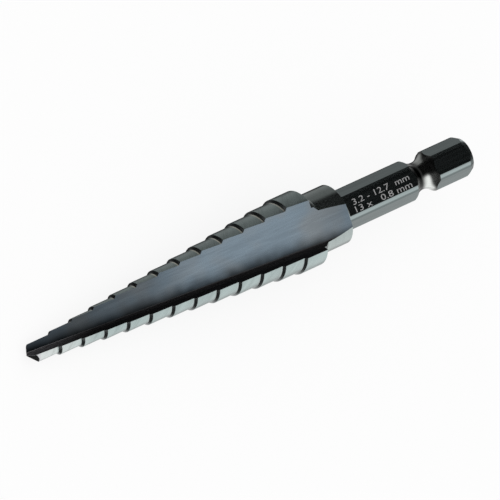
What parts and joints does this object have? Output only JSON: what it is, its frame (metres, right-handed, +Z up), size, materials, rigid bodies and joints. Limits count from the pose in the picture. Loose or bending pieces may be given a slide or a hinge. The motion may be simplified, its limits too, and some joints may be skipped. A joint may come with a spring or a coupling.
{
  "type": "step drill",
  "caption": "Straight single-flute step drill: a pointed cone of round stepped lands, a short collar and a hexagonal quick-change shank with a ball groove.",
  "frame": {"origin": "middle of the drill's outline on the table it lies on", "axes": "+X from the point towards the shank, +Z up, the flute facing up; the drill's own axis rises towards the shank by 5.7 degrees as it lies"},
  "size_m": [0.0846, 0.0126, 0.013],
  "materials": {
    "steel": "ground bright high-speed steel, fine grinding marks"
  },
  "bodies": {
    "root": {"step_drill": "steel"}
  },
  "joints": []
}
